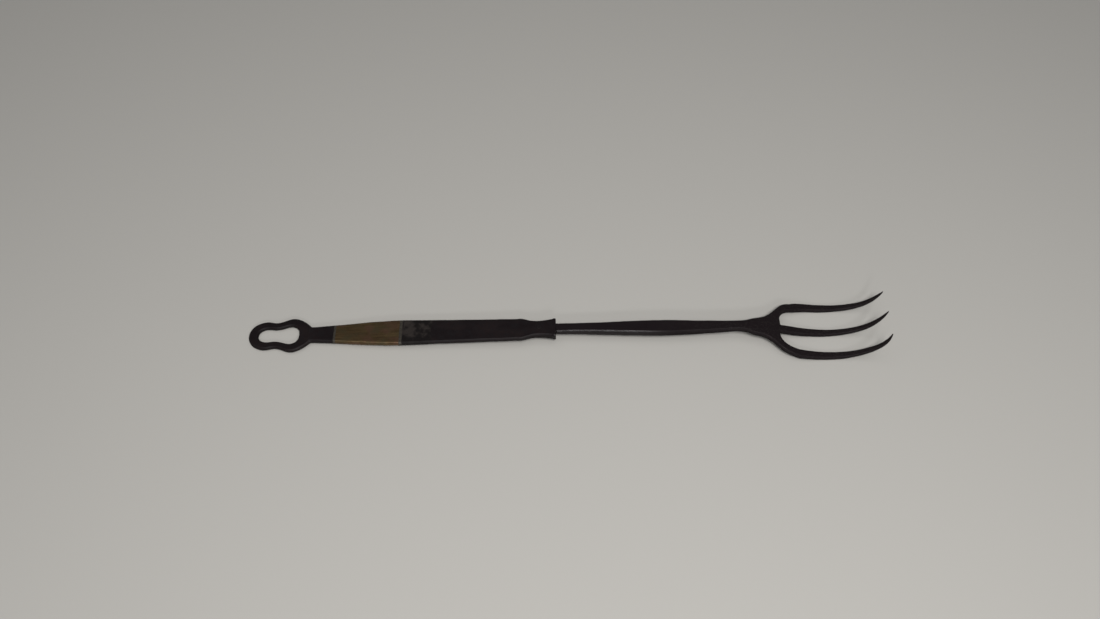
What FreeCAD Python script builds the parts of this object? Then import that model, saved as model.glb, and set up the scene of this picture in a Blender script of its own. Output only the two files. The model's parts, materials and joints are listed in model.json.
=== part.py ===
"""Hand-forged three-tine roasting fork with a brass-wrapped iron handle.

Row frame: +X runs from the hanging loop to the tines, +Y to the left of
someone holding the handle, +Z up.  The fork lies on its loop and on the
bellies of its tines, on the plane z = 0.  The origin is on that plane, midway
along the fork and on the centre line of its handle.  Millimetres.
"""
import FreeCAD, Part
import math
import os

from FreeCAD import Placement, Rotation, Vector

# ---------------------------------------------------------------- driving dimensions
FORK_LENGTH = 431.8
LOOP_END = 0.4                # distances run from a datum this far behind the loop

# Handle: a flat bar, straight but tilted up towards the shank.
HANDLE_TILT = 2.03            # degrees
HANDLE_AXIS_RISE = 1.56       # height of the bar's axis at the datum
HANDLE_THICKNESS = 3.6
EDGE_CHAMFER = 1.0
NECK_WIDTH = 12.2

# Hanging loop: a closed eye with a small lobe behind and a large lobe in front.
# (distance, half width) of its outer edge and of its eye.
LOOP_OUTER_EDGE = [(3.5, 7.6), (8.0, 10.3), (12.6, 11.1), (19.0, 10.2), (24.0, 11.5),
                   (29.0, 13.2), (34.5, 12.3), (39.0, 9.6)]
LOOP_EYE_REAR = 6.9
LOOP_EYE_FRONT = 34.9
LOOP_EYE_EDGE = [(8.7, 3.9), (12.6, 5.4), (17.5, 5.0), (24.0, 6.0), (29.0, 7.1), (33.0, 5.5)]
LOOP_THICKNESS = 3.2
LOOP_CHAMFER = 0.9
NECK_START = 43.0             # where the loop's shoulders meet the parallel neck
SCARF_TOP = 41.5              # the handle's tongue laps the loop down this slope
SCARF_BOTTOM = 49.0
LOOP_TAIL = 6.0               # length of the loop's blank beyond the scarf, cut away by it

# (distance, width) of the handle bar, all at one thickness.
HANDLE_WIDTHS = [(36.0, 12.2), (50.0, 12.6), (66.0, 15.0), (82.0, 17.7), (98.0, 19.3),
                 (116.0, 19.1), (134.0, 18.3), (152.0, 17.7), (168.0, 17.2), (184.0, 16.8)]
# The waist and the flared mouth that holds the shank: (distance, width, thickness).
MOUTH_STATIONS = [(184.0, 16.8, HANDLE_THICKNESS), (188.5, 15.9, 3.9), (193.0, 13.2, 4.4),
                  (198.3, 12.1, 4.8), (203.5, 12.8, 5.2), (208.3, 14.5, 5.6)]
MOUTH_END = 209.9
LIP_OVERHANG = 0.15           # the rim at the mouth stands this far proud all round
LIP_LENGTH = 1.6
FLAT_START = 107.0            # a true flat is planed along the underside between these
FLAT_END = 178.0
FLAT_DEPTH = 0.05

# Brass wrap, let in flush over a thinned stretch of the bar.
WRAP_START = 58.5
WRAP_END = 105.4
WRAP_THICKNESS = 0.8
SOLDER_BAND_REAR = 1.6        # solder ring at each end of the wrap
SOLDER_BAND_FRONT = 1.9
SEAM_WIDTH = 1.4              # soldered seam along the underside of the wrap

# Shank and palm, one tapered bar: (distance, sideways shift, height of its axis,
# width, thickness).
SHANK_STATIONS = [(209.7, 0.0, 8.9, 7.4, 4.6), (222.0, 0.0, 9.0, 7.3, 5.0),
                  (236.0, 0.0, 9.0, 7.8, 5.5), (252.0, 0.0, 9.1, 8.9, 5.8),
                  (268.0, 0.0, 9.3, 10.0, 5.7), (284.0, 0.0, 9.4, 10.6, 5.5),
                  (300.0, 0.0, 9.7, 9.7, 5.1), (314.0, 0.0, 10.2, 8.7, 4.8),
                  (325.0, 0.0, 10.8, 7.8, 4.5), (334.0, 0.0, 11.2, 7.5, 4.4)]
PALM_STATIONS = [(339.0, 0.0, 10.8, 9.0, 4.4), (344.0, 0.0, 10.1, 12.5, 4.4),
                 (348.5, 0.0, 9.7, 14.4, 4.3), (353.0, 0.0, 9.0, 18.0, 4.2),
                 (358.0, 0.1, 7.9, 25.9, 4.1), (362.0, 0.3, 7.0, 33.7, 4.0),
                 (366.0, 0.7, 6.0, 39.4, 3.8), (369.5, 0.7, 5.05, 42.0, 3.7),
                 (373.0, 0.7, 4.1, 43.6, 3.6)]
SHANK_CHAMFER = 1.0
SLOT_CHAMFER = 0.9
TANG_LENGTH = 19.0
TANG_WIDTH = 5.2
TANG_THICKNESS = 2.8
PIN_DISTANCE = 198.5
PIN_RADIUS = 1.1

# Forge welds of the palm.  The shank's end slopes under the middle tine's root,
# and the outer tines' roots lie along both sides of the middle one.
WELD_SCARF_TOP = 326.0
WELD_SCARF_BOTTOM = 338.0
WELD_SCARF_HIGH = 14.0
WELD_SCARF_LOW = 7.5
ROOT_START = 341.0

# Slots between the tines, in plan, from the corner at the middle tine to the
# outer tine's inner edge at the end of the palm.
LEFT_SLOT = [(362.6, 3.0), (362.6, 8.0), (363.5, 11.0), (366.0, 13.9), (369.2, 15.4),
             (373.0, 16.2)]
RIGHT_SLOT = [(361.6, -3.0), (361.8, -6.6), (363.2, -9.5), (365.9, -12.1), (369.4, -13.8),
              (373.0, -14.7)]

# Tines, from the end of the palm to their points: (distance, place across, height
# of the axis), the left one flattest and the right one most hooked.
LEFT_TINE = [(373.0, 19.3, 4.1), (381.0, 20.4, 2.55), (392.0, 20.4, 1.55),
             (404.0, 20.3, 2.1), (414.0, 20.3, 4.2), (423.0, 20.3, 8.7),
             (429.0, 20.3, 15.4), (432.3, 20.3, 21.8)]
MIDDLE_TINE = [(373.0, 0.0, 4.1), (381.0, 0.0, 2.55), (391.0, 0.0, 1.57), (403.0, 0.0, 2.5),
               (412.0, 0.0, 5.1), (420.5, 0.0, 9.9), (427.0, 0.0, 17.8), (430.9, 0.0, 27.5)]
RIGHT_TINE = [(373.0, -18.0, 4.1), (381.0, -18.4, 2.7), (393.0, -18.4, 1.55),
              (404.0, -18.4, 2.5), (413.0, -18.4, 5.3), (421.0, -18.4, 9.9),
              (427.3, -18.4, 16.5), (429.6, -18.4, 23.0), (430.0, -18.4, 28.0)]
MIDDLE_TINE_WIDTH = 6.0
OUTER_TINE_WIDTH = 6.5
TINE_THICKNESS = 3.6
TINE_DRAWN_OUT = 0.38         # share of its size left just behind the point
TINE_POINT = 0.6
TINE_POINT_POWER = 10         # the higher, the blunter the point
TINE_CHAMFER_SHARE = 0.28     # of its thickness
TINE_SECTIONS = 14

BIG = 60.0                    # half size of the blocks that trim a shape

ALONG = Vector(1, 0, 0)


# ---------------------------------------------------------------- helpers
def x_at(distance):
    """Row x of a point at this distance along the fork."""
    return distance - LOOP_END - FORK_LENGTH / 2


def in_handle(shape):
    """Move a shape from the handle's own level frame to its tilted place."""
    tilt = Rotation(Vector(0, 1, 0), -HANDLE_TILT)
    shape.Placement = Placement(Vector(x_at(0), 0, HANDLE_AXIS_RISE), tilt)
    return shape.copy()


def octagon(width, thickness, chamfer):
    """Corners (across, up) of a flat bar's section with its four edges chamfered."""
    w, t, c = width / 2, thickness / 2, chamfer
    return [(w - c, t), (w, t - c), (w, c - t), (w - c, -t),
            (c - w, -t), (-w, c - t), (-w, t - c), (c - w, t)]


def section(centre, along, width, thickness, chamfer):
    """Closed wire across a bar whose axis passes through centre and points along."""
    up = Vector(0, 1, 0).cross(along) * -1
    up.normalize()
    side = Vector(0, 1, 0)
    points = [centre + side * a + up * b for a, b in octagon(width, thickness, chamfer)]
    return Part.makePolygon(points + points[:1])


def loft(wires):
    return Part.makeLoft(wires, True, False)


def smooth_curve(points, closed=False):
    curve = Part.BSplineCurve()
    curve.interpolate(Points=[Vector(*p) for p in points], PeriodicFlag=closed)
    return curve


def slab(start, end):
    """Block that holds everything from one handle distance to another."""
    return Part.makeBox(end - start, 2 * BIG, 2 * BIG, Vector(start, -BIG, -BIG))


def ahead_of_slope(low_x, low_z, high_x, high_z):
    """Block on the upper, forward side of a slope that runs back and up."""
    far_x = low_x + 8 * BIG
    corners = [Vector(low_x, -BIG, low_z), Vector(high_x, -BIG, high_z),
               Vector(high_x, -BIG, BIG), Vector(far_x, -BIG, BIG),
               Vector(far_x, -BIG, -BIG), Vector(low_x, -BIG, -BIG)]
    return Part.Face(Part.makePolygon(corners + corners[:1])).extrude(Vector(0, 2 * BIG, 0))


# ---------------------------------------------------------------- handle
def handle_run(stations, thinner=0.0):
    """Chamfered bar through (distance, width, thickness), in the handle's frame."""
    return loft([section(Vector(s, 0, 0), ALONG, w - thinner, t - thinner,
                         EDGE_CHAMFER - thinner / 4)
                 for s, w, t in stations])


def flat_bar(thinner=0.0):
    """The parallel-sided length of the handle, from the tongue to the waist."""
    return handle_run([(s, w, HANDLE_THICKNESS) for s, w in HANDLE_WIDTHS], thinner)


def mouth_rim():
    """Rim round the mouth, standing a little proud of the flare."""
    flare_end, width, thickness = MOUTH_STATIONS[-1]
    proud = 2 * LIP_OVERHANG
    foot = flare_end - LIP_LENGTH / 2
    steps = ((foot, -proud), (flare_end, proud), (MOUTH_END, proud))
    return Part.makeLoft([section(Vector(s, 0, 0), ALONG, width + grow, thickness + grow,
                                  EDGE_CHAMFER) for s, grow in steps], True, True)


def handle_envelope():
    """The whole bar from its tongue to the rim of the mouth."""
    bar = flat_bar().fuse([handle_run(MOUTH_STATIONS), mouth_rim()])
    planed = slab(FLAT_START, FLAT_END)
    planed.translate(Vector(0, 0, FLAT_DEPTH - BIG - HANDLE_THICKNESS / 2))
    return bar.cut(planed)


def tongue_side():
    """Everything on the handle's side of the scarf between the tongue and the loop."""
    half = HANDLE_THICKNESS / 2
    return ahead_of_slope(SCARF_BOTTOM, -half, SCARF_TOP, half)


def wrap_shell(envelope):
    """Ring of metal let into the bar, from one end of the wrap to the other."""
    return envelope.common(slab(WRAP_START, WRAP_END)).cut(flat_bar(2 * WRAP_THICKNESS))


def loop_ring():
    """Flat forged eye with its shoulders and neck, less the handle's tongue."""
    half_neck = NECK_WIDTH / 2
    tail = SCARF_BOTTOM + LOOP_TAIL
    left = [(s, y, 0) for s, y in LOOP_OUTER_EDGE]
    right = [(s, -y, 0) for s, y in reversed(LOOP_OUTER_EDGE)]
    shoulder = smooth_curve([(NECK_START, -half_neck, 0)] + right + [(LOOP_END, 0, 0)] + left
                            + [(NECK_START, half_neck, 0)]).toShape()
    neck = Part.makePolygon([Vector(NECK_START, half_neck, 0), Vector(tail, half_neck, 0),
                             Vector(tail, -half_neck, 0), Vector(NECK_START, -half_neck, 0)])
    outline = Part.Face(Part.Wire([shoulder] + neck.Edges))
    eye_left = [(s, y, 0) for s, y in LOOP_EYE_EDGE]
    eye_right = [(s, -y, 0) for s, y in reversed(LOOP_EYE_EDGE)]
    eye_edge = smooth_curve([(LOOP_EYE_REAR, 0, 0)] + eye_left + [(LOOP_EYE_FRONT, 0, 0)]
                            + eye_right, closed=True)
    eye = Part.Face(Part.Wire([eye_edge.toShape()]))
    half = LOOP_THICKNESS / 2
    plate = outline.cut(eye).extrude(Vector(0, 0, LOOP_THICKNESS))
    plate.translate(Vector(0, 0, -half))
    rims = [e for e in plate.Edges
            if abs(abs(e.CenterOfMass.z) - half) < 0.01
            and e.CenterOfMass.x < tail - 1]
    plate = plate.makeChamfer(LOOP_CHAMFER, rims)
    lap = Part.makeBox(2 * BIG, NECK_WIDTH, 2 * BIG, Vector(0, -half_neck, -BIG))
    past_shoulders = slab(NECK_START, 2 * BIG)
    return plate.cut([tongue_side().common(lap), tongue_side().common(past_shoulders)])


# ---------------------------------------------------------------- shank and tines
def centre_bar():
    """Shank and palm before the palm is split, in the row's frame."""
    return loft([section(Vector(x_at(s), y, z), ALONG, w, t, SHANK_CHAMFER)
                 for s, y, z, w, t in SHANK_STATIONS + PALM_STATIONS])


def tang():
    """Flat tongue on the shank's end, square to the handle's mouth."""
    start, _, axis_height = SHANK_STATIONS[0][:3]
    block = Part.makeBox(TANG_LENGTH, TANG_WIDTH, TANG_THICKNESS,
                         Vector(x_at(start - TANG_LENGTH), -TANG_WIDTH / 2,
                                axis_height - TANG_THICKNESS / 2))
    block.rotate(Vector(x_at(start), 0, axis_height), Vector(0, 1, 0), -HANDLE_TILT)
    return block


def plan_prism(edges):
    """Vertical block over an outline in plan."""
    face = Part.Face(Part.Wire(edges))
    face.translate(Vector(0, 0, -BIG))
    return face.extrude(Vector(0, 0, 2 * BIG))


def slot_cutter(points):
    """Block that opens one slot, from its closed end forwards."""
    row = [Vector(x_at(s), y, 0) for s, y in points]
    sweep = smooth_curve(row[1:]).toShape()
    past = Vector(BIG, 0, 0)
    tine_edge = Vector(row[-1].x, math.copysign(MIDDLE_TINE_WIDTH / 2, points[0][1]), 0)
    straight = Part.makePolygon([row[-1], row[-1] + past, tine_edge + past, tine_edge,
                                 row[0], row[1]])
    return plan_prism([sweep] + straight.Edges)


def soften_slots(head, cutters):
    """Chamfer the upper and lower rims of the slots."""
    rims = []
    for edge in head.Edges:
        middle = edge.valueAt((edge.FirstParameter + edge.LastParameter) / 2)
        upright = edge.BoundBox.ZLength > 0.9 * edge.Length
        at_end = middle.x > x_at(PALM_STATIONS[-1][0]) - 0.01
        touches = any(Part.Vertex(middle).distToShape(c)[0] < 1e-4 for c in cutters)
        if touches and not upright and not at_end:
            rims.append(edge)
    return head.makeChamfer(SLOT_CHAMFER, rims)


def root_side(points):
    """Block over everything outside the weld seam that runs back from a slot's corner."""
    corner_y = points[0][1]
    start = x_at(ROOT_START)
    far_y = math.copysign(BIG, corner_y)
    outline = [Vector(start, corner_y, 0), Vector(start + 2 * BIG, corner_y, 0),
               Vector(start + 2 * BIG, far_y, 0), Vector(start, far_y, 0)]
    return plan_prism(Part.makePolygon(outline + outline[:1]).Edges)


def tine(points, root_width):
    """Bar that follows a curve from the palm to its point, drawn out on the way."""
    curve = smooth_curve([(x_at(s), y, z) for s, y, z in points])
    length = curve.length()
    wires = []
    for step in range(TINE_SECTIONS + 1):
        share = step / TINE_SECTIONS
        drawn = 1 - (1 - TINE_DRAWN_OUT) * share
        size = drawn * (1 - share ** TINE_POINT_POWER)
        place = curve.parameterAtDistance(length * share)
        along = Vector(*curve.tangent(place)[0]) if step else ALONG
        width = TINE_POINT + (root_width - TINE_POINT) * size
        thickness = TINE_POINT + (TINE_THICKNESS - TINE_POINT) * size
        wires.append(section(curve.value(place), along, width, thickness,
                             TINE_CHAMFER_SHARE * thickness))
    return loft(wires)


# ---------------------------------------------------------------- the pieces
def make_pieces():
    """Every piece of the fork by name."""
    envelope = handle_envelope()
    shell = wrap_shell(envelope)
    tongue = envelope.common(tongue_side())
    band_rear = slab(WRAP_START, WRAP_START + SOLDER_BAND_REAR)
    band_front = slab(WRAP_END - SOLDER_BAND_FRONT, WRAP_END)
    between = shell.cut([band_rear, band_front])
    seam_block = Part.makeBox(WRAP_END - WRAP_START, SEAM_WIDTH, BIG,
                              Vector(WRAP_START, -SEAM_WIDTH / 2, -BIG))
    pieces = {
        "hanging_loop": in_handle(loop_ring()),
        "rear_solder_band": in_handle(shell.common(band_rear)),
        "front_solder_band": in_handle(shell.common(band_front)),
        "sleeve_seam_solder": in_handle(between.common(seam_block)),
        "brass_sleeve": in_handle(between.cut(seam_block)),
    }
    pin = Part.makeCylinder(PIN_RADIUS, BIG, Vector(PIN_DISTANCE, 0, -BIG / 2))
    pin = in_handle(pin.common(envelope))
    blank = centre_bar()
    weld = ahead_of_slope(x_at(WELD_SCARF_BOTTOM), WELD_SCARF_LOW, x_at(WELD_SCARF_TOP),
                          WELD_SCARF_HIGH)
    slots = [slot_cutter(LEFT_SLOT), slot_cutter(RIGHT_SLOT)]
    head = soften_slots(blank.common(weld).cut(slots), slots)
    left_side, right_side = root_side(LEFT_SLOT), root_side(RIGHT_SLOT)
    pieces["left_tine"] = head.common(left_side).fuse(tine(LEFT_TINE, OUTER_TINE_WIDTH))
    pieces["right_tine"] = head.common(right_side).fuse(tine(RIGHT_TINE, OUTER_TINE_WIDTH))
    middle = head.cut([left_side, right_side])
    pieces["middle_tine"] = middle.fuse(tine(MIDDLE_TINE, MIDDLE_TINE_WIDTH))
    shank = blank.cut(weld).fuse(tang())
    pieces["handle_bar"] = in_handle(tongue.cut(shell)).cut([shank, pin])
    pieces["shank"] = shank.cut(pin)
    pieces["tang_pin"] = pin
    return pieces


os.makedirs("parts", exist_ok=True)
for name, shape in make_pieces().items():
    shape.exportStep(os.path.join("parts", name + ".step"))
    print(name, shape.isValid(), len(shape.Solids), round(shape.Volume, 1))
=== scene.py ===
"""Looks of the hand-forged roasting fork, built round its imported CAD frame.

The iron is two forgings, the handle and the fork's head.  Each is fused from
its CAD nodes, worn and hammered all over, and then cut apart again where the
CAD pieces meet, so that the surface runs on across every weld.
"""

import json
import math

import bmesh
import bpy
from mathutils import Matrix, Vector, noise

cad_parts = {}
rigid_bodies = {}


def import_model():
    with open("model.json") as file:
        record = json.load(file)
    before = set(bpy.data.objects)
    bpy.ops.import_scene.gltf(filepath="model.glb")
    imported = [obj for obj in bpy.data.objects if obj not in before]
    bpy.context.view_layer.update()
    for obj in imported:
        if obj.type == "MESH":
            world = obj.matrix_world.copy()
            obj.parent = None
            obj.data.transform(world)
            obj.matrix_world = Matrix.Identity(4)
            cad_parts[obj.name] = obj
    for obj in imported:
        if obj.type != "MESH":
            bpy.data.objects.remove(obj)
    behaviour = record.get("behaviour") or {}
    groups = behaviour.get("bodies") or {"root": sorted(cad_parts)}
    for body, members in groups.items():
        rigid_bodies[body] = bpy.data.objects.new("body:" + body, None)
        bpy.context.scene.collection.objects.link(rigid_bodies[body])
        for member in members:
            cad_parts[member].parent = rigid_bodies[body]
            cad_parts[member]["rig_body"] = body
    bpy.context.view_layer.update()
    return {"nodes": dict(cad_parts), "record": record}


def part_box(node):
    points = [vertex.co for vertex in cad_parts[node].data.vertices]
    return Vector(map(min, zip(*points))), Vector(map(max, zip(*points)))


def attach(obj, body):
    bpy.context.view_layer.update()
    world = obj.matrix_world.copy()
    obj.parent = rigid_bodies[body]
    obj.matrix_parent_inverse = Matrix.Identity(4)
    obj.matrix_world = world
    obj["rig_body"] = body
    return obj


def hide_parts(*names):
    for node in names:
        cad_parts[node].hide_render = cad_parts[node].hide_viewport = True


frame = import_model()

MM = 0.001
FAR = 0.5                       # reach of the cutting blocks

# The forged skin
VOXEL = 0.25 * MM
EDGE_WEAR_PASSES = 4            # smoothing passes that round the filed edges
DENT_SIZE = 9.0 * MM
DENT_DEPTH = 0.26 * MM
PLANISH_SIZE = 2.6 * MM
PLANISH_DEPTH = 0.07 * MM
CREASE_ANGLE = math.radians(50)

# Solder and pin
SOLDER_HEIGHT = 0.10 * MM
SOLDER_EDGE = 0.5 * MM          # width over which the solder's relief fades out
LUMP_SIZE = 1.1 * MM
RAGGED = 0.45 * MM              # waviness of the solder's outer edges
RAGGED_WAVE = 4.0 * MM
RAGGED_INSIDE = 0.2 * RAGGED    # waviness of the edges where solder meets brass
WALL_STEPS = 60
WALL_REACH = 15.0 * MM
PIN_RADIUS = 1.1 * MM
PIN_DOME = 0.10 * MM
PIN_GROOVE = 0.06 * MM

# The view: a 35 mm lens that looks down at the fork from its right side
LENS = 35.0
VIEW_DISTANCE = 0.745
VIEW_ELEVATION = math.radians(55.0)
VIEW_TURN = math.radians(-0.42)
AIM = Vector((-0.0104, 0.0223, 0.0))

X_AXIS, Y_AXIS, Z_AXIS = Vector((1, 0, 0)), Vector((0, 1, 0)), Vector((0, 0, 1))


# ------------------------------------------------------------------ places in the frame
def mount(name):
    return next(m for m in frame["record"]["mounts"] if m["name"] == name)


handle_up = -Vector(mount("handle_underside")["axis"]).normalized()
handle_along = Y_AXIS.cross(handle_up)


def vertices(node):
    return [v.co for v in frame["nodes"][node].data.vertices]


def reach(node, direction):
    """How far a CAD node reaches along a direction: its lowest and highest value."""
    values = [place.dot(direction) for place in vertices(node)]
    return min(values), max(values)


def furthest(node, direction):
    """The corner of a CAD node that lies furthest along a direction."""
    return max(vertices(node), key=direction.dot).copy()


def centre(node):
    low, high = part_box(node)
    return (low + high) / 2


rear_band = reach("rear_solder_band", handle_along)
front_band = reach("front_solder_band", handle_along)
sheet = reach("brass_sleeve", handle_along)
bar_low, bar_high = reach("brass_sleeve", handle_up)
seam_half_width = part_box("sleeve_seam_solder")[1].y
pin_centre = centre("tang_pin")
mouth_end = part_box("handle_bar")[1].x
palm_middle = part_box("left_tine")[0].x


# ------------------------------------------------------------------ mesh tools
def new_object(name, mesh):
    piece = bpy.data.objects.new(name, mesh)
    bpy.context.scene.collection.objects.link(piece)
    return piece


def object_from(name, bm):
    mesh = bpy.data.meshes.new(name)
    bm.to_mesh(mesh)
    bm.free()
    return new_object(name, mesh)


def fused(name, objects):
    """One mesh from copies of some objects' meshes."""
    bm = bmesh.new()
    for each in objects:
        bm.from_mesh(each.data)
    bmesh.ops.remove_doubles(bm, verts=bm.verts, dist=1e-6)
    return object_from(name, bm)


def settle(piece):
    """Replace a piece's mesh by what its modifiers make of it."""
    graph = bpy.context.evaluated_depsgraph_get()
    mesh = bpy.data.meshes.new_from_object(piece.evaluated_get(graph))
    piece.modifiers.clear()
    piece.data = mesh
    return piece


def boolean(piece, cutter, operation):
    """Intersect or join a piece with a cutter, or cut the cutter away from it."""
    step = piece.modifiers.new(operation, "BOOLEAN")
    step.operation = operation
    step.solver = "MANIFOLD"
    step.object = cutter
    return settle(piece)


def cut(source, name, keep=(), drop=()):
    """A copy of a mesh, cut to what lies in every keep block and in no drop block."""
    piece = fused(name, [source])
    for cutter in keep:
        boolean(piece, cutter, "INTERSECT")
    for cutter in drop:
        boolean(piece, cutter, "DIFFERENCE")
    return piece


def drop_crumbs(piece):
    """Delete the slivers that a cut may leave beside a piece: all but its largest island."""
    bm = bmesh.new()
    bm.from_mesh(piece.data)
    unseen = set(bm.verts)
    islands = []
    while unseen:
        island = set()
        frontier = [unseen.pop()]
        while frontier:
            vertex = frontier.pop()
            island.add(vertex)
            beside = {edge.other_vert(vertex) for edge in vertex.link_edges} & unseen
            unseen -= beside
            frontier.extend(beside)
        islands.append(island)
    largest = max(islands, key=len)
    bmesh.ops.delete(bm, geom=[v for v in bm.verts if v not in largest], context="VERTS")
    bm.to_mesh(piece.data)
    bm.free()


def crease(piece):
    """Shade smooth, but keep the corners that a cut has made crisp."""
    piece.data.shade_smooth()
    piece.data.set_sharp_from_angle(angle=CREASE_ANGLE)


def finish_piece(piece, material, node):
    drop_crumbs(piece)
    crease(piece)
    piece.data.materials.clear()
    piece.data.materials.append(material)
    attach(piece, "root")
    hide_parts(node)


# ------------------------------------------------------------------ cutting blocks
def block(name, along, up, low, high):
    """Box whose low and high corners are measured (along, across, up)."""
    turn = Matrix((along, up.cross(along), up)).transposed()
    bm = bmesh.new()
    bmesh.ops.create_cube(bm, size=1.0)
    for v in bm.verts:
        v.co = turn @ Vector([(a + b) / 2 + (b - a) * p for a, b, p in zip(low, high, v.co)])
    return object_from(name, bm)


def along_block(name, start, end):
    """Everything between two distances along the tilted handle."""
    return block(name, handle_along, handle_up, (start, -FAR, -FAR), (end, FAR, FAR))


def ahead_of_slope(name, low_point, high_point):
    """Everything ahead of the slope that runs across the fork through two points."""
    up_slope = high_point - low_point
    up_slope.y = 0
    up_slope.normalize()
    ahead = Y_AXIS.cross(up_slope)
    start = low_point.dot(ahead)
    return block(name, ahead, up_slope, (start, -FAR, -FAR), (start + FAR, FAR, FAR))


def ragged_wall(name, at, depth):
    """Everything ahead of a wavy wall that stands across the handle."""
    bm = bmesh.new()
    bmesh.ops.create_grid(bm, x_segments=WALL_STEPS, y_segments=WALL_STEPS, size=WALL_REACH)
    for v in bm.verts:
        wave = noise.noise(Vector((v.co.x, v.co.y, at)) / RAGGED_WAVE)
        height = (bar_low + bar_high) / 2 + v.co.y
        v.co = handle_along * (at + depth * wave) + Y_AXIS * v.co.x + handle_up * height
    made = bmesh.ops.extrude_face_region(bm, geom=bm.faces[:], use_keep_orig=True)
    moved = [g for g in made["geom"] if isinstance(g, bmesh.types.BMVert)]
    bmesh.ops.translate(bm, verts=moved, vec=handle_along * FAR)
    bmesh.ops.recalc_face_normals(bm, faces=bm.faces[:])
    return object_from(name, bm)


def rod(name, through, along, radius):
    """Endless round rod through a point."""
    bm = bmesh.new()
    bmesh.ops.create_cone(bm, cap_ends=True, segments=48, radius1=radius, radius2=radius,
                          depth=2 * FAR)
    bm.transform(Matrix.Translation(through) @ along.to_track_quat("Z", "Y").to_matrix().to_4x4())
    return object_from(name, bm)


# ------------------------------------------------------------------ forging
def dents(piece, name, size, depth, levels):
    texture = bpy.data.textures.new(name, "CLOUDS")
    texture.noise_scale = size
    texture.noise_depth = levels
    step = piece.modifiers.new(name, "DISPLACE")
    step.texture = texture
    step.texture_coords = "LOCAL"
    step.strength = depth
    step.mid_level = 0.5


def forge(name, parts):
    """Fuse parts into one forging with worn edges and a hammered skin."""
    piece = fused(name, parts)
    skin = piece.modifiers.new("skin", "REMESH")
    skin.mode = "VOXEL"
    skin.voxel_size = VOXEL
    wear = piece.modifiers.new("wear", "SMOOTH")
    wear.factor = 0.5
    wear.iterations = EDGE_WEAR_PASSES
    dents(piece, name + "_dents", DENT_SIZE, DENT_DEPTH, 1)
    dents(piece, name + "_planishing", PLANISH_SIZE, PLANISH_DEPTH, 2)
    return settle(piece)


def step_up(value, start, width):
    """Smooth rise from 0 at start to 1 one width later."""
    t = min(1.0, max(0.0, (value - start) / width))
    return t * t * (3 - 2 * t)


def window(value, start, end, soft):
    return step_up(value, start - soft / 2, soft) * (1 - step_up(value, end - soft / 2, soft))


def push_out(piece, height_at):
    """Move each vertex along its normal by height_at(position, normal)."""
    normals = [v.normal.copy() for v in piece.data.vertices]
    for v, normal in zip(piece.data.vertices, normals):
        v.co += normal * height_at(v.co, normal)


def solder_relief(place, normal):
    """Lumpy solder standing a little proud in its two bands and along its seam."""
    along = place.dot(handle_along)
    share = max(window(along, *rear_band, SOLDER_EDGE), window(along, *front_band, SOLDER_EDGE))
    if normal.dot(handle_up) < -0.5:
        beside = window(place.y, -seam_half_width, seam_half_width, SOLDER_EDGE)
        share = max(share, window(along, *sheet, SOLDER_EDGE) * beside)
    if not share:
        return 0.0
    return share * SOLDER_HEIGHT * (0.5 + 0.7 * noise.noise(place / LUMP_SIZE))


def pin_relief(place, normal):
    """Peened pin head: a low dome with a faint groove round it."""
    if abs(normal.dot(handle_up)) < 0.7:
        return 0.0
    offset = place - pin_centre
    radius = (offset - handle_up * offset.dot(handle_up)).length
    if radius > 2 * PIN_RADIUS:
        return 0.0
    dome = max(0.0, 1 - (radius / PIN_RADIUS) ** 2)
    groove = math.exp(-((radius - 1.1 * PIN_RADIUS) / (0.25 * MM)) ** 2)
    return PIN_DOME * dome - PIN_GROOVE * groove


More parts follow.
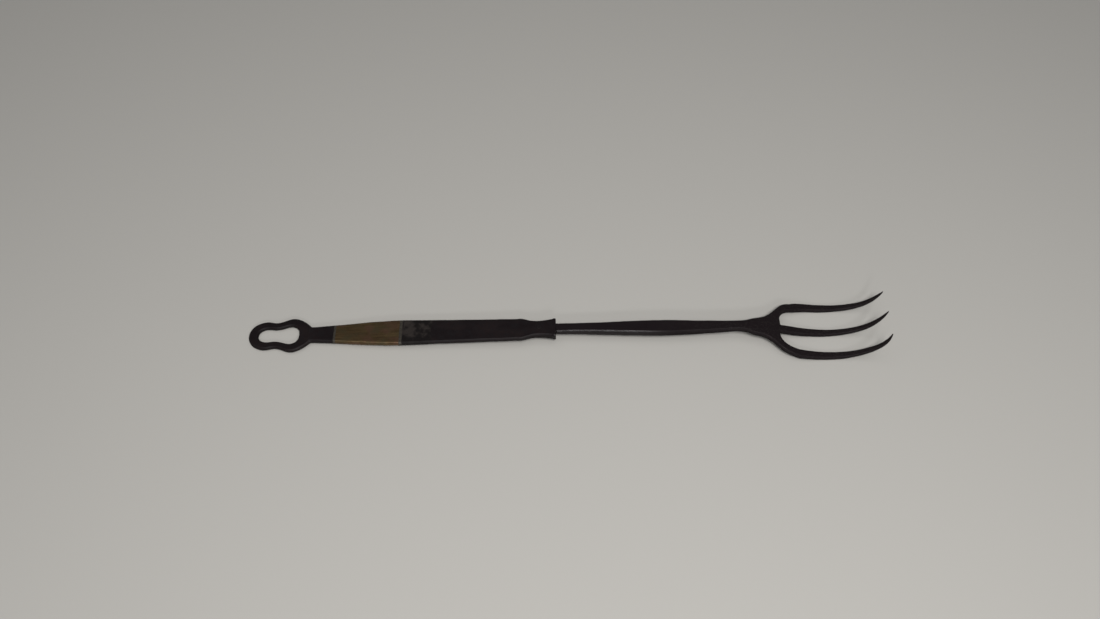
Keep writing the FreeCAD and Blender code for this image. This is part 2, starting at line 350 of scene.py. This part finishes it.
# ------------------------------------------------------------------ material tools
class Shader:
    """A material's node tree, with short calls for the nodes used here."""

    def __init__(self, name):
        self.material = bpy.data.materials.new(name)
        self.material.use_nodes = True
        self.tree = self.material.node_tree
        self.surface = self.tree.nodes["Principled BSDF"]
        self.place = self.tree.nodes.new("ShaderNodeTexCoord").outputs["Object"]

    def feed(self, socket, value):
        if isinstance(value, bpy.types.NodeSocket):
            self.tree.links.new(value, socket)
        else:
            socket.default_value = value

    def set(self, **values):
        """Feed the surface's sockets: base_color, roughness and so on."""
        for key, value in values.items():
            if isinstance(value, tuple):
                value = (*value, 1)
            names = {s.name.lower().replace(" ", "_"): s for s in self.surface.inputs}
            self.feed(names[key], value)

    def node(self, kind, inputs=(), **settings):
        made = self.tree.nodes.new(kind)
        for key, value in settings.items():
            setattr(made, key, value)
        for key, value in dict(inputs).items():
            self.feed(made.inputs[key], value)
        return made

    def noise(self, size, detail=4.0, rough=0.55, stretch=(1, 1, 1), shift=0.0):
        """Noise with blotches about this size, stretched by a factor along each axis."""
        scaled = self.node("ShaderNodeVectorMath", operation="MULTIPLY_ADD")
        self.feed(scaled.inputs[0], self.place)
        self.feed(scaled.inputs[1], [1 / (size * s) for s in stretch])
        self.feed(scaled.inputs[2], (shift, shift, shift))
        return self.node("ShaderNodeTexNoise", {"Vector": scaled.outputs[0], "Scale": 1.0,
                                                "Detail": detail, "Roughness": rough}).outputs[0]

    def ramp(self, value, low, high, out_low=0.0, out_high=1.0):
        made = self.node("ShaderNodeMapRange", interpolation_type="SMOOTHSTEP")
        for socket, given in zip(made.inputs, (value, low, high, out_low, out_high)):
            self.feed(socket, given)
        return made.outputs[0]

    def math(self, operation, a, b=0.0):
        return self.node("ShaderNodeMath", {0: a, 1: b}, operation=operation).outputs[0]

    def mix(self, share, a, b):
        """Colour from a to b by share."""
        made = self.node("ShaderNodeMix", data_type="RGBA")
        self.feed(made.inputs[0], share)
        for index, colour in ((6, a), (7, b)):
            self.feed(made.inputs[index], (*colour, 1) if isinstance(colour, tuple) else colour)
        return made.outputs[2]

    def edges(self, low, high):
        """Share of wear: 0 on flats and hollows, 1 on exposed edges."""
        return self.ramp(self.node("ShaderNodeNewGeometry").outputs["Pointiness"], low, high)

    def distance_along_fork(self):
        return self.node("ShaderNodeSeparateXYZ", {0: self.place}).outputs["X"]

    def distance_along_handle(self):
        return self.node("ShaderNodeVectorMath", {0: self.place, 1: handle_along},
                         operation="DOT_PRODUCT").outputs["Value"]

    def bump(self, *heights):
        """Bump from (height socket, depth in metres) pairs, one over the other."""
        normal = None
        for height, depth in heights:
            made = self.node("ShaderNodeBump", {"Height": height, "Distance": depth})
            if normal:
                self.feed(made.inputs["Normal"], normal)
            normal = made.outputs[0]
        self.feed(self.surface.inputs["Normal"], normal)


# ------------------------------------------------------------------ materials
IRON_BLACK = (0.0066, 0.0038, 0.0045)
IRON_BROWN = (0.0110, 0.0066, 0.0070)
IRON_SCALE = (0.0080, 0.0062, 0.0070)
IRON_FLECKS = (0.0290, 0.0255, 0.0240)
# painted sheen: a purple-tinted lift of the iron's colour ahead of the mouth, standing in for the
# glossy tops' reflection
IRON_PAINTED_SHEEN = (0.0120, 0.0088, 0.0100)
PAINTED_SHEEN_SHARE = 0.85
IRON_BARE = (0.034, 0.029, 0.029)
PATCH_DARK = (0.0058, 0.0042, 0.0042)
PATCH_PALE = (0.026, 0.021, 0.019)
PATCH_LENGTH = 19.9 * MM
BURNT_FROM = 45.0 * MM          # the shank's rubbed gloss gives way to dull scale
BURNT_BY = 80.0 * MM            # between these places along the fork

IRON_DULL_ROUGH = 0.50
IRON_GLOSSY_ROUGH = 0.19
IRON_REFLECTANCE = 0.17         # specular level on the handle and the glossy shank
BURNT_REFLECTANCE = 0.05        # and on the palm and the tines

BRASS_BROWN = (0.082, 0.051, 0.024)
BRASS_GOLD = (0.152, 0.102, 0.046)
BRASS_ROSY = (0.142, 0.077, 0.048)
BRASS_OLIVE = (0.080, 0.064, 0.032)
BRASS_SPOTS = (0.042, 0.028, 0.017)
BRASS_BARE = (0.220, 0.165, 0.120)

SOLDER_DARK = (0.035, 0.029, 0.022)
SOLDER_PALE = (0.064, 0.056, 0.045)
FLOOR_GREY = (0.50, 0.485, 0.455)


def iron_tarnish_and_sheen(s, along, head):
    """Colour of the iron: black scale and brown bloom, a painted sheen ahead of the mouth, burnt
    flecks.
    """
    bloom = s.ramp(s.noise(11 * MM, 5, stretch=(1.8, 1, 1)), 0.42, 0.64)
    scale = s.ramp(s.noise(3.2 * MM, 4, shift=7), 0.46, 0.62, 0.0, 0.6)
    flecks = s.ramp(s.noise(0.9 * MM, 4, 0.6, shift=31), 0.49, 0.70)
    burnt = s.ramp(along, BURNT_FROM, palm_middle, 0.0, 0.8)
    colour = s.mix(bloom, IRON_BLACK, IRON_BROWN)
    colour = s.mix(scale, colour, IRON_SCALE)
    # painted sheen: the colour ahead of the mouth is lifted towards the sheen tint
    colour = s.mix(s.math("MULTIPLY", head, PAINTED_SHEEN_SHARE), colour, IRON_PAINTED_SHEEN)
    return s.mix(s.math("MULTIPLY", flecks, burnt), colour, IRON_FLECKS)


def forged_iron(name, patch_from=None):
    """Blackened wrought iron with fine pits and pale worn edges, and a painted sheen in its
    colour ahead of the handle's mouth.

    The shank is glossier near the handle's mouth, and the palm and tines are dull and flecked.
    From patch_from, if given, a mottled grey patch runs forwards along the handle."""
    s = Shader(name)
    along = s.distance_along_fork()
    head = s.ramp(along, mouth_end - 4 * MM, mouth_end)
    gloss = s.math("MULTIPLY", head, s.ramp(along, BURNT_FROM, BURNT_BY, 1.0, 0.0))
    pits = s.noise(0.55 * MM, 3, 0.6)
    grain = s.noise(0.30 * MM, 2, 0.5, stretch=(14, 1, 1), shift=3)
    rubbed = s.ramp(s.noise(1.8 * MM, 4, 0.6, stretch=(7, 1, 1), shift=11), 0.3, 0.7, 0.2)
    colour = iron_tarnish_and_sheen(s, along, head)
    rough = s.math("ADD", s.ramp(gloss, 0, 1, IRON_DULL_ROUGH, IRON_GLOSSY_ROUGH),
                   s.math("MULTIPLY", pits, 0.10))
    if patch_from is not None:
        share, patch = grey_patch(s, patch_from, patch_from + PATCH_LENGTH)
        colour = s.mix(share, colour, patch)
        rough = s.math("ADD", rough, s.math("MULTIPLY", share, 0.08))
    wear = s.math("MULTIPLY", s.edges(0.506, 0.535), rubbed)
    s.set(base_color=s.mix(wear, colour, IRON_BARE), metallic=s.math("MULTIPLY", wear, 0.8),
          roughness=s.math("SUBTRACT", rough, s.math("MULTIPLY", wear, 0.1)),
          specular_ior_level=s.ramp(along, BURNT_FROM, BURNT_BY,
                                    IRON_REFLECTANCE, BURNT_REFLECTANCE))
    s.bump((s.noise(1.6 * MM, 3, shift=5), 0.07 * MM), (pits, 0.045 * MM), (grain, 0.01 * MM))
    return s.material


def grey_patch(s, start, end):
    """Share and colour of the mottled grey patch between two distances along the handle."""
    ragged = s.math("MULTIPLY", s.math("SUBTRACT", s.noise(3 * MM, 4, shift=19), 0.5), 3 * MM)
    place = s.math("ADD", s.distance_along_handle(), ragged)
    inside = s.math("MULTIPLY", s.ramp(place, start - 1.5 * MM, start - 0.5 * MM),
                    s.ramp(place, end - 0.6 * MM, end + 0.6 * MM, 1.0, 0.0))
    near = s.ramp(s.node("ShaderNodeSeparateXYZ", {0: s.place}).outputs["Y"],
                  -7 * MM, -3.5 * MM, 0.25, 1.0)
    nearer_solder = s.ramp(place, start, end, 0.05, -0.03)
    blotches = s.math("ADD", s.noise(4.5 * MM, 3, 0.5, shift=29), nearer_solder)
    pale = s.math("MULTIPLY", s.ramp(blotches, 0.42, 0.68), near)
    return inside, s.mix(pale, PATCH_DARK, PATCH_PALE)


def aged_brass():
    """Old sheet brass: fine lengthwise rub marks under brown and rosy tarnish."""
    s = Shader("aged_brass")
    rubs = s.noise(0.30 * MM, 3, 0.6, stretch=(40, 1, 1))
    bands = s.noise(1.1 * MM, 3, 0.5, stretch=(30, 1, 1), shift=17)
    cloud = s.noise(7 * MM, 3, 0.5, shift=4)
    rosy = s.ramp(s.noise(9 * MM, 3, 0.5, shift=13), 0.46, 0.62, 0.0, 0.8)
    spots = s.ramp(s.noise(0.9 * MM, 4, 0.6, shift=9), 0.64, 0.72, 0.0, 0.6)
    colour = s.mix(s.ramp(bands, 0.30, 0.70), BRASS_BROWN, BRASS_GOLD)
    colour = s.mix(rosy, colour, BRASS_ROSY)
    colour = s.mix(s.ramp(cloud, 0.46, 0.68, 0.0, 0.8), colour, BRASS_OLIVE)
    colour = s.mix(s.ramp(rubs, 0.35, 0.65, 0.0, 0.30), colour, BRASS_BROWN)
    colour = s.mix(spots, colour, BRASS_SPOTS)
    wear = s.math("MULTIPLY", s.edges(0.506, 0.545), 0.3)
    s.set(base_color=s.mix(wear, colour, BRASS_BARE), metallic=0.78,
          roughness=s.math("ADD", s.ramp(cloud, 0.3, 0.7, 0.36, 0.50),
                           s.ramp(rubs, 0.3, 0.7, -0.07, 0.07)))
    s.bump((s.noise(4 * MM, 2, 0.5, shift=8), 0.06 * MM), (rubs, 0.006 * MM))
    return s.material


def soft_solder():
    """Dull, lumpy tin-lead solder with tarnish in its hollows."""
    s = Shader("soft_solder")
    lumps = s.noise(1.4 * MM, 4, 0.6)
    s.set(base_color=s.mix(s.ramp(lumps, 0.35, 0.65), SOLDER_DARK, SOLDER_PALE),
          metallic=0.4, roughness=s.ramp(lumps, 0.3, 0.7, 0.58, 0.44))
    s.bump((lumps, 0.05 * MM), (s.noise(0.35 * MM, 3, shift=6), 0.01 * MM))
    return s.material


# ------------------------------------------------------------------ the pieces
def cad(*nodes):
    return [frame["nodes"][node] for node in nodes]


def build_head(iron):
    """Cut the head forging into the shank and the three tines, and return the shank."""
    forging = forge("head", cad("shank", "left_tine", "middle_tine", "right_tine"))
    left_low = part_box("left_tine")[0]
    right_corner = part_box("right_tine")
    ahead = ahead_of_slope("weld", furthest("shank", X_AXIS), furthest("middle_tine", -X_AXIS))
    left = block("left_side", X_AXIS, Z_AXIS, (left_low.x, left_low.y, -FAR), (FAR, FAR, FAR))
    right = block("right_side", X_AXIS, Z_AXIS, (right_corner[0].x, -FAR, -FAR),
                  (FAR, right_corner[1].y, FAR))
    shank = cut(forging, "forged_shank", drop=[ahead])
    for piece, node in ((shank, "shank"),
                        (cut(forging, "forged_tine_left", [left]), "left_tine"),
                        (cut(forging, "forged_tine_right", [right]), "right_tine"),
                        (cut(forging, "forged_tine_middle", [ahead], [left, right]),
                         "middle_tine")):
        finish_piece(piece, iron, node)
    return shank


def build_handle(shank, iron, patched_iron, brass, solder):
    """Cut the handle forging into the loop, the bar, the wrap, its solder and the pin."""
    mouth = reach("handle_bar", handle_along)[1]
    tang = cut(frame["nodes"]["shank"], "tang", [along_block("to_mouth", -FAR, mouth)])
    forging = forge("handle", [tang] + cad("hanging_loop", "handle_bar", "brass_sleeve",
                                           "rear_solder_band", "front_solder_band",
                                           "sleeve_seam_solder", "tang_pin"))
    push_out(forging, solder_relief)
    push_out(forging, pin_relief)

    neck = reach("hanging_loop", handle_along)[1]
    tongue = reach("handle_bar", handle_along)[0]
    lap = ahead_of_slope("lap", handle_along * neck + handle_up * bar_low,
                         handle_along * tongue + handle_up * bar_high)
    wall_1 = ragged_wall("wall_1", rear_band[0], RAGGED)
    wall_2 = ragged_wall("wall_2", sheet[0], RAGGED_INSIDE)
    wall_3 = ragged_wall("wall_3", sheet[1], RAGGED_INSIDE)
    wall_4 = ragged_wall("wall_4", front_band[1], RAGGED)
    seam = block("seam", handle_along, handle_up, (-FAR, -seam_half_width, -FAR),
                 (FAR, seam_half_width, (bar_low + bar_high) / 2))
    core = cut(frame["nodes"]["handle_bar"], "core",
               [along_block("wrapped", rear_band[0] - MM, front_band[1] + MM)])
    pin_rod = rod("pin_rod", pin_centre, handle_up, PIN_RADIUS)

    bar = cut(forging, "forged_bar", [lap], [wall_1])
    boolean(bar, core, "UNION")
    boolean(bar, cut(forging, "bar_front", [wall_4], [pin_rod, shank]), "UNION")
    for piece, material, slot, node in (
            (cut(forging, "forged_loop", drop=[lap]), iron, "forged_iron", "hanging_loop"),
            (bar, patched_iron, "forged_iron", "handle_bar"),
            (cut(forging, "brass_wrap", [wall_2], [wall_3, core, seam]), brass, "aged_brass",
             "brass_sleeve"),
            (cut(forging, "solder_seam", [wall_2, seam], [wall_3, core]), solder, "solder",
             "sleeve_seam_solder"),
            (cut(forging, "solder_band_rear", [wall_1], [wall_2, core]), solder, "solder",
             "rear_solder_band"),
            (cut(forging, "solder_band_front", [wall_3], [wall_4, core]), solder, "solder",
             "front_solder_band"),
            (cut(forging, "peened_pin", [pin_rod]), iron, "forged_iron", "tang_pin")):
        finish_piece(piece, material, node)


def clear_away():
    """Delete the forgings and cutting blocks, which no longer serve."""
    for each in list(bpy.context.scene.objects):
        if each.type == "MESH" and "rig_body" not in each and "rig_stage" not in each:
            bpy.data.objects.remove(each)


# ------------------------------------------------------------------ stage
def build_floor():
    """Plain pale floor, wide enough to fill every view."""
    bm = bmesh.new()
    bmesh.ops.create_grid(bm, x_segments=8, y_segments=8, size=6.0)
    floor = object_from("floor", bm)
    s = Shader("pale_floor")
    s.set(base_color=FLOOR_GREY, roughness=0.9, specular_ior_level=0.2)
    floor.data.materials.append(s.material)
    floor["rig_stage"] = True


def area_light(name, place, size, power, colour=(1.0, 1.0, 1.0)):
    """Soft light aimed at the middle of the fork."""
    data = bpy.data.lights.new(name, "AREA")
    data.shape = "RECTANGLE"
    data.size, data.size_y = size
    data.energy = power
    data.color = colour
    light = bpy.data.objects.new(name, data)
    light.location = place
    light.rotation_euler = (-Vector(place)).to_track_quat("-Z", "Y").to_euler()
    bpy.context.scene.collection.objects.link(light)


def build_lights():
    """A flash-like key, a soft overhead, and a small glint for the shank's chamfer."""
    area_light("key", (0.11, -0.60, 1.04), (0.25, 0.25), 9.0, (1.0, 0.995, 0.985))
    area_light("overhead", (-0.1, -0.30, 1.5), (2.2, 1.6), 7.3)
    area_light("glint", (0.103, -0.978, 0.695), (0.12, 0.12), 1.7)
    world = bpy.data.worlds.new("soft_room")
    world.use_nodes = True
    room = world.node_tree.nodes["Background"].inputs
    room["Color"].default_value = (0.80, 0.82, 0.85, 1)
    room["Strength"].default_value = 0.10
    bpy.context.scene.world = world
    bpy.context.scene.view_settings.view_transform = "Standard"


def build_camera():
    data = bpy.data.cameras.new("camera")
    data.lens = LENS
    camera = bpy.data.objects.new("camera", data)
    bpy.context.scene.collection.objects.link(camera)
    camera.rotation_euler = (math.pi / 2 - VIEW_ELEVATION, 0, VIEW_TURN)
    camera.location = AIM + camera.rotation_euler.to_matrix() @ Z_AXIS * VIEW_DISTANCE
    bpy.context.scene.camera = camera


iron = forged_iron("forged_iron")
patched_iron = forged_iron("forged_iron_patched", front_band[1])
shank_piece = build_head(iron)
build_handle(shank_piece, iron, patched_iron, aged_brass(), soft_solder())
clear_away()
build_floor()
build_lights()
build_camera()
